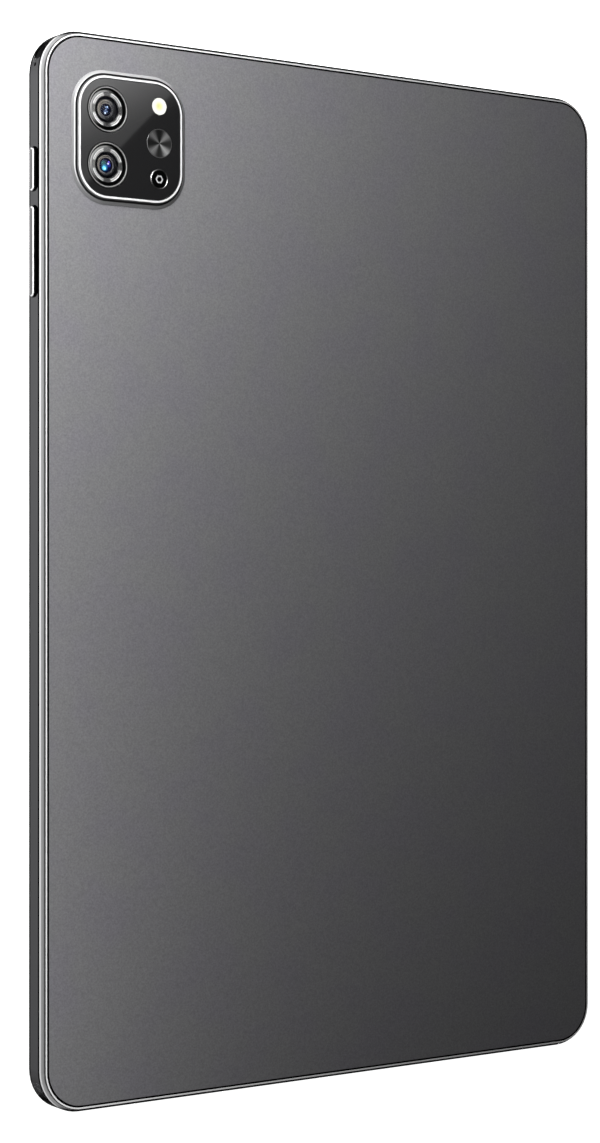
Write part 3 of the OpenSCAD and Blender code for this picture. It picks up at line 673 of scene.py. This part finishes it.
def makeLenses(canBlack):
    window = windowGlass()
    for side, barrel in barrels.items():
        at = lensAt[side]
        pupilR = pupilLook[side]["radius"]
        rides = barrel["rides"]
        makePiece(side + "LensRing", lensRingShape(at), lensMetal(side + "LensMetal", at),
                  replaced=(side + "_lens_ring",))
        makePiece(side + "LensWindow", windowShape(at), window,
                  replaced=(side + "_lens_glass",))
        makePiece(side + "LensBarrel", barrelShape(at, barrel["footZ"], barrel["footR"], pupilR),
                  barrelBlack(side + "BarrelBlack", at, pupilR), rides=rides,
                  replaced=barrel["replaced"])
        makePiece(side + "LensPupil", pupilShape(at, pupilR), pupilGlass(side), rides=rides)
    makePiece("depthCameraCan", depthCanShape(), canBlack, replaced=("depth_camera_module",))


depthCan = {"side": 5.6, "topZ": 6.4, "edge": 0.35}


def depthCanShape():
    # a square can under the upper lens, from its node's foot up to the barrel
    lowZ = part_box("depth_camera_module")[0].z / mm
    topZ = depthCan["topZ"]
    bm = bmesh.new()
    bmesh.ops.create_cube(bm, size=mm)
    bmesh.ops.scale(bm, verts=bm.verts, vec=(depthCan["side"], depthCan["side"], topZ - lowZ))
    at = Vector((lensAt["upper"].x, lensAt["upper"].y, (topZ + lowZ) / 2))
    bmesh.ops.translate(bm, verts=bm.verts, vec=at * mm)
    roundEdges(bm, depthCan["edge"])
    return bm


# the flash, the spun disc and the round badge

flash = {
    "radius": 2.0, "edge": 0.08, "grooves": 6, "grooveDepth": 0.035, "middle": 0.3, "margin": 0.25,
    "warm": (0.31, 0.31, 0.085), "white": (0.4, 0.4, 0.37), "rim": (0.01, 0.01, 0.01),
}


def flashShape():
    # a flat disc with round grooves in its top
    low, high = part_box("flash_lens")
    base, top = low.z / mm, high.z / mm
    radius = flash["radius"]
    outline = [(0, base), (radius, base), (radius, top - flash["edge"]), (radius - flash["edge"], top)]
    pitch = (radius - flash["middle"]) / flash["grooves"]
    for i in range(flash["grooves"]):
        r = radius - flash["margin"] - i * pitch
        outline += [(r, top), (r - pitch * 0.35, top - flash["grooveDepth"])]
    return turned(outline + [(0, top)], flashAt, onAxis=True)


def flashDiffuser():
    m = Finish("flashDiffuser")
    r = m.around(flashAt)[0]
    phosphor = 1 - r.step(0.2, 1.5)
    colour = m.mix(phosphor * 0.85, flash["white"], flash["warm"])
    colour = m.mix(r.step(flash["radius"] - 0.14, flash["radius"] - 0.08), colour, flash["rim"])
    return m.surface(baseColor=m.tint(colour, 0.97 + m.noise(900) * 0.06), metallic=0.0, roughness=0.3,
                     coatWeight=0.5, coatRoughness=0.1)


disc = {"radius": 3.3, "edge": 0.04, "rim": 0.18, "step": 0.03, "dish": 0.05, "eye": 0.14, "rings": 0.11}


def discShape():
    # a raised rim, a shallow dish and a small flat eye
    low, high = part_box("spun_disc")
    base, top = low.z / mm, high.z / mm
    radius, rim, step = disc["radius"], disc["rim"], disc["step"]
    eyeZ = top - disc["dish"] - step
    outline = [
        (0, base), (radius, base), (radius, top - disc["edge"]), (radius - disc["edge"], top),
        (radius - rim, top), (radius - rim - 0.06, top - step), (disc["eye"] + 0.08, top - disc["dish"]),
        (disc["eye"], eyeZ), (0, eyeZ),
    ]
    return turned(outline, discAt, onAxis=True)


def spunMetal():
    m = Finish("spunMetal")
    r, dx, dy = m.around(discAt)
    angle = m.turn(dx, dy)
    # painted highlights: four bright lobes in an X, streaked along the spin, and a paler rim
    lobeHighlights = (4 * angle - math.pi / 2).wave()
    streak = m.add("ShaderNodeTexNoise", {"noise_dimensions": "1D"},
                   {"W": angle * 3.0, "Scale": 4.0, "Detail": 3.0})
    rim = r.step(disc["radius"] - 0.22, disc["radius"] - 0.16)
    shade = 0.005 + (0.01 + 0.2 * lobeHighlights * lobeHighlights) * (0.6 + 0.8 * streak) * (1 - rim) + rim * 0.07
    return m.surface(baseColor=m.tint((1.0, 1.0, 1.0), shade), metallic=0.8, roughness=0.34,
                     normal=m.bump(r.wave(disc["rings"]), 0.00001, 0.35))


badge = {"radius": 2.3, "ringW": 0.28, "edge": 0.08, "plateT": 0.14,
         "glyphR": 1.0, "glyphW": 0.34, "glyphDrop": 0.04}


def badgeShapes():
    # a round plate with a raised rim, and a plain six-sided ring on it
    low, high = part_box("badge_ring")
    base, top = low.z / mm, high.z / mm
    plateZ = base + badge["plateT"]
    outer, inner = badge["radius"], badge["radius"] - badge["ringW"]
    plate = turned([(0, base), (outer, base), (outer, top - 0.06), (outer - badge["edge"], top),
                    (inner + badge["edge"], top), (inner, top - 0.06), (inner - 0.02, plateZ), (0, plateZ)],
                   badgeAt, onAxis=True)
    outer, inner = badge["glyphR"], badge["glyphR"] - badge["glyphW"]
    foot, head = plateZ - overlap, top - badge["glyphDrop"]
    glyph = turned([(inner, foot), (outer, foot), (outer, head), (inner, head)], badgeAt, steps=6)
    return plate, glyph


def badgeChrome():
    m = Finish("badgeChrome")
    r, dx, dy = m.around(badgeAt)
    inner = badge["radius"] - badge["ringW"]
    ring = r.step(inner - 0.02, inner + 0.02)
    # painted highlights: two bright arcs round the chrome ring
    arcHighlights = (2 * m.turn(dx, dy) + math.pi * 0.9).wave()
    shade = 0.001 + ring * (0.04 + 0.14 * arcHighlights)
    return m.surface(baseColor=m.tint((1.0, 1.0, 1.0), shade * (0.95 + m.noise(900) * 0.1)), metallic=0.9,
                     roughness=0.22)


def glyphChrome():
    m = Finish("glyphChrome")
    return m.surface(baseColor=m.tint((0.26, 0.26, 0.265), 0.92 + m.noise(900) * 0.12), metallic=0.2,
                     roughness=0.25)


def makeTrims():
    makePiece("flashLens", flashShape(), flashDiffuser(), replaced=("flash_lens",))
    makePiece("spunDisc", discShape(), spunMetal(), replaced=("spun_disc",))
    plate, glyph = badgeShapes()
    makePiece("badgePlate", plate, badgeChrome(), replaced=("badge_ring",))
    makePiece("badgeGlyph", glyph, glyphChrome())


# the two side keys

keys = {"edge": 0.3, "flangeX": 1.65, "flangeT": 0.4, "flangeL": 1.2, "flangeH": 0.9,
        "nubR": 0.6, "nubT": 0.2, "rock": 7.0}
# the bevel colour is a painted highlight and the side colour is painted shade
keyLook = {"face": (0.055, 0.055, 0.056), "bevel": (0.42, 0.42, 0.425), "side": (0.004, 0.004, 0.004)}


def keyShape(node, nubs):
    low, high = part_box(node)
    low, high = low / mm, high / mm
    y, z = (low.y + high.y) / 2, (low.z + high.z) / 2
    length = high.y - low.y - keys["flangeL"]
    height = high.z - low.z - keys["flangeH"]
    halfW = body["halfW"]
    flange = -halfW + keys["flangeX"]
    flangeEnd = flange + keys["flangeT"]
    parts = [stadiumBlock(low.x, flange + overlap, y, z, length, height, edge=keys["edge"]),
             stadiumBlock(flange, flangeEnd, y, z, length + keys["flangeL"], height + keys["flangeH"])]
    for offset in nubs:
        nub = bmesh.new()
        sideways = Matrix.Rotation(math.radians(90), 4, "Y")
        radius = keys["nubR"] * mm
        bmesh.ops.create_cone(nub, cap_ends=True, segments=32, radius1=radius, radius2=radius,
                              depth=(keys["nubT"] + overlap) * mm, matrix=sideways)
        at = (flangeEnd + (keys["nubT"] - overlap) / 2, y + offset, z)
        bmesh.ops.translate(nub, verts=nub.verts, vec=Vector(at) * mm)
        parts.append(nub)
    return join(*parts)


def keyMetal():
    m = Finish("keyMetal")
    x = m.inMm()[0]
    outward = -1 * m.split(m.facing())[0]
    # painted light and shade: a painted highlight on the bevel round the key's face, and the key's sides
    # near black as painted shade
    face = outward.step(0.9, 0.98)
    bevelHighlight = outward.band(0.2, 0.9, 0.08) * (1 - x.step(-body["halfW"], -body["halfW"] + 0.1))
    grain = m.noise(1500, 2.0)
    colour = m.mix(face, keyLook["side"], keyLook["face"])
    colour = m.mix(bevelHighlight, colour, keyLook["bevel"])
    return m.surface(baseColor=m.tint(colour, 0.95 + grain * 0.1), metallic=1 - bevelHighlight * 0.6,
                     roughness=0.36 - bevelHighlight * 0.14 + grain * 0.04)


def makeKeys(metal):
    makePiece("powerKey", keyShape("power_key", [0]), metal, rides="power_key",
              replaced=("power_key",))
    makePiece("volumeKey", keyShape("volume_key", [-keys["rock"], keys["rock"]]), metal,
              rides="volume_key", replaced=("volume_key",))


# finishes of the other pieces, by the record's slot

screenHalf = {"x": 67.8, "y": 108.5}
screenEdge = (-0.1, 0.1)


def frontGlass():
    m = Finish("frontGlass")
    x, y = m.inMm()[:2]
    screen = (1 - abs(x).rise(screenEdge, screenHalf["x"])) * (1 - abs(y).rise(screenEdge, screenHalf["y"]))
    smear = m.noise(40, 3.0)
    colour = m.mix(screen, (0.006, 0.006, 0.007), (0.014, 0.015, 0.018))
    colour = m.tint(colour, 0.9 + smear * 0.2)
    return m.surface(baseColor=colour, metallic=0.0, roughness=0.05 + smear * 0.04,
                     coatWeight=1.0, coatRoughness=0.02)


def blackTape():
    m = Finish("blackTape")
    foam = m.cells(2600)
    return m.surface(baseColor=m.mix(foam, (0.02, 0.02, 0.02), (0.05, 0.05, 0.052)), metallic=0.0,
                     roughness=0.85, normal=m.bump(foam, 0.00003, 0.6))


def screenCell():
    m = Finish("screenCell")
    x, y = m.inMm()[:2]
    grid = x.wave(0.6) * y.wave(0.6)
    return m.surface(baseColor=m.mix(grid, (0.008, 0.008, 0.012), (0.02, 0.02, 0.03)), metallic=0.1,
                     roughness=0.2)


def backlightFilm():
    m = Finish("backlightFilm")
    x, y = m.inMm()[:2]
    dots = x.wave(1.6) * y.wave(1.6)
    return m.surface(baseColor=m.mix(dots.step(0.4, 0.8), (0.8, 0.8, 0.82), (0.7, 0.71, 0.74)), metallic=0.0,
                     roughness=0.5)


def copperFlex():
    m = Finish("copperFlex")
    x, y = m.inMm()[:2]
    lines = (x + y * 0.02).wave(0.8).step(0.35, 0.5)
    film = m.noise(120, 2.0)
    colour = m.mix(lines, (0.3, 0.12, 0.02), (0.62, 0.28, 0.07))
    return m.surface(baseColor=m.tint(colour, 0.85 + film * 0.3), metallic=lines * 0.6,
                     roughness=0.3 + film * 0.1)


def castChassis():
    m = Finish("castChassis")
    blast = m.noise(1100, 3.0)
    stain = m.noise(30, 2.0)
    colour = m.mix(stain, (0.3, 0.31, 0.33), (0.4, 0.41, 0.43))
    return m.surface(baseColor=m.tint(colour, 0.9 + blast * 0.2), metallic=0.9, roughness=0.45 + blast * 0.1,
                     normal=m.bump(blast, 0.00003, 0.5))


def graphiteFoil():
    m = Finish("graphiteFoil")
    fold = m.noise(55, 3.0)
    flake = m.noise(2200, 1.0)
    return m.surface(baseColor=m.mix(flake, (0.03, 0.03, 0.033), (0.08, 0.08, 0.085)), metallic=0.3,
                     roughness=0.42 + fold * 0.15, normal=m.bump(fold, 0.0001, 0.3))


def boardGreen():
    m = Finish("boardGreen")
    x, y = m.inMm()[:2]
    bend = m.noise(60, 0.0).step(0.4, 0.6) * 6.0
    tracks = (x + bend).wave(1.1).step(0.62, 0.7) * (1 - (y + bend).wave(1.3).step(0.7, 0.78))
    pads = m.cells(420).step(0.1, 0.16)
    colour = m.mix(tracks, (0.004, 0.05, 0.022), (0.012, 0.12, 0.05))
    colour = m.mix(pads, (0.75, 0.62, 0.35), colour)
    return m.surface(baseColor=colour, metallic=(1 - pads) * 0.8, roughness=0.28 + tracks * 0.1,
                     normal=m.bump(tracks, 0.00002, 0.4))


def cameraBlack():
    m = Finish("cameraBlack")
    grain = m.noise(1300, 2.0)
    return m.surface(baseColor=m.mix(grain, (0.015, 0.015, 0.016), (0.035, 0.035, 0.037)), metallic=0.2,
                     roughness=0.45 + grain * 0.1, normal=m.bump(grain, 0.00002, 0.4))


def sheetSteel():
    m = Finish("sheetSteel")
    brushed = m.noise(260, 3.0, stretch=(1.0, 14.0, 1.0))
    colour = m.mix(brushed, (0.52, 0.52, 0.54), (0.7, 0.7, 0.72))
    return m.surface(baseColor=colour, metallic=1.0, roughness=0.26 + brushed * 0.12,
                     normal=m.bump(brushed, 0.00001, 0.3))


def chipBlack():
    m = Finish("chipBlack")
    grain = m.noise(1800, 2.0)
    return m.surface(baseColor=m.mix(grain, (0.018, 0.018, 0.018), (0.04, 0.04, 0.042)), metallic=0.0,
                     roughness=0.55 + grain * 0.1, normal=m.bump(grain, 0.00002, 0.4))


# the pack's middle along Y, and how far from it the bare folded ends begin
batteryEnds = {"middleY": -21, "fold": (71.0, 72.5)}


def batteryFoil():
    m = Finish("batteryFoil")
    y = m.inMm()[1]
    crease = m.noise(32, 4.0)
    side = abs(y - batteryEnds["middleY"]).rise(batteryEnds["fold"])
    colour = m.mix(crease, (0.05, 0.05, 0.055), (0.08, 0.08, 0.085))
    colour = m.mix(side, colour, (0.55, 0.56, 0.58))
    return m.surface(baseColor=colour, metallic=side * 0.9, roughness=0.34 + crease * 0.15,
                     normal=m.bump(crease, 0.0001, 0.35))


def cableBlack():
    m = Finish("cableBlack")
    grain = m.noise(1200, 2.0)
    return m.surface(baseColor=m.mix(grain, (0.012, 0.012, 0.012), (0.03, 0.03, 0.03)), metallic=0.0,
                     roughness=0.5 + grain * 0.1)


def whiteTape():
    m = Finish("whiteTape")
    pull = m.noise(200, 2.0, stretch=(4.0, 0.5, 1.0))
    return m.surface(baseColor=m.mix(pull, (0.72, 0.72, 0.7), (0.86, 0.86, 0.84)), metallic=0.0,
                     roughness=0.6, normal=m.bump(pull, 0.00003, 0.4))


def portPlastic():
    m = Finish("portPlastic")
    grain = m.noise(1500, 2.0)
    # black plastic, coloured darker than it is as painted shade inside the port openings
    return m.surface(baseColor=m.mix(grain, (0.0015, 0.0015, 0.0016), (0.004, 0.004, 0.0042)), metallic=0.0,
                     shine=0.05, roughness=0.5 + grain * 0.1)


def goldCan():
    m = Finish("goldCan")
    grain = m.noise(900, 2.0)
    return m.surface(baseColor=m.mix(grain, (0.6, 0.5, 0.25), (0.72, 0.6, 0.33)), metallic=1.0,
                     roughness=0.3 + grain * 0.1)


def speakerPlastic():
    m = Finish("speakerPlastic")
    spark = m.noise(1000, 3.0)
    return m.surface(baseColor=m.mix(spark, (0.02, 0.02, 0.021), (0.045, 0.045, 0.046)), metallic=0.0,
                     roughness=0.55 + spark * 0.12, normal=m.bump(spark, 0.00003, 0.5))


def wovenMesh():
    m = Finish("wovenMesh")
    x, z = m.inMm()[::2]
    weave = x.wave(0.3) * z.wave(0.3)
    colour = m.mix(weave.step(0.2, 0.6), (0.01, 0.01, 0.01), (0.22, 0.22, 0.23))
    return m.surface(baseColor=colour, metallic=0.8, roughness=0.4, normal=m.bump(weave, 0.00004, 0.6))


def screwNickel():
    m = Finish("screwNickel")
    grain = m.noise(1400, 2.0)
    return m.surface(baseColor=m.mix(grain, (0.5, 0.5, 0.5), (0.66, 0.65, 0.63)), metallic=1.0,
                     roughness=0.25 + grain * 0.12)


def dressNodes():
    # gives each node that is shown the finish of its slot in the record
    finishes = {
        "screen_glass": frontGlass(), "black_tape": blackTape(), "screen_cell": screenCell(),
        "backlight": backlightFilm(), "flex_copper": copperFlex(), "cast_chassis": castChassis(),
        "frame_metal": frameMetal(), "cover_metal": coverSatin(), "graphite": graphiteFoil(),
        "island_metal": islandMetal(), "island_glass": islandGlass(), "circuit_board": boardGreen(),
        "camera_black": cameraBlack(), "bright_steel": sheetSteel(), "chip_black": chipBlack(),
        "battery_foil": batteryFoil(), "cable_black": cableBlack(), "white_tape": whiteTape(),
        "key_metal": keyMetal(), "port_plastic": portPlastic(), "mic_metal": goldCan(),
        "speaker_plastic": speakerPlastic(), "mesh_metal": wovenMesh(), "screw_metal": screwNickel(),
    }
    for part in frame["record"]["subparts"]:
        if part["material_slot"] in finishes:
            mesh = nodes[part["node"]].data
            mesh.materials.clear()
            mesh.materials.append(finishes[part["material_slot"]])
    return finishes


print("finishes")
finishes = dressNodes()
print("camera and lights")
makeCamera()
makeLights()
makeRoom()
makeFloor()
print("lenses")
makeLenses(finishes["camera_black"])
print("flash, disc and badge")
makeTrims()
print("keys")
makeKeys(finishes["key_metal"])
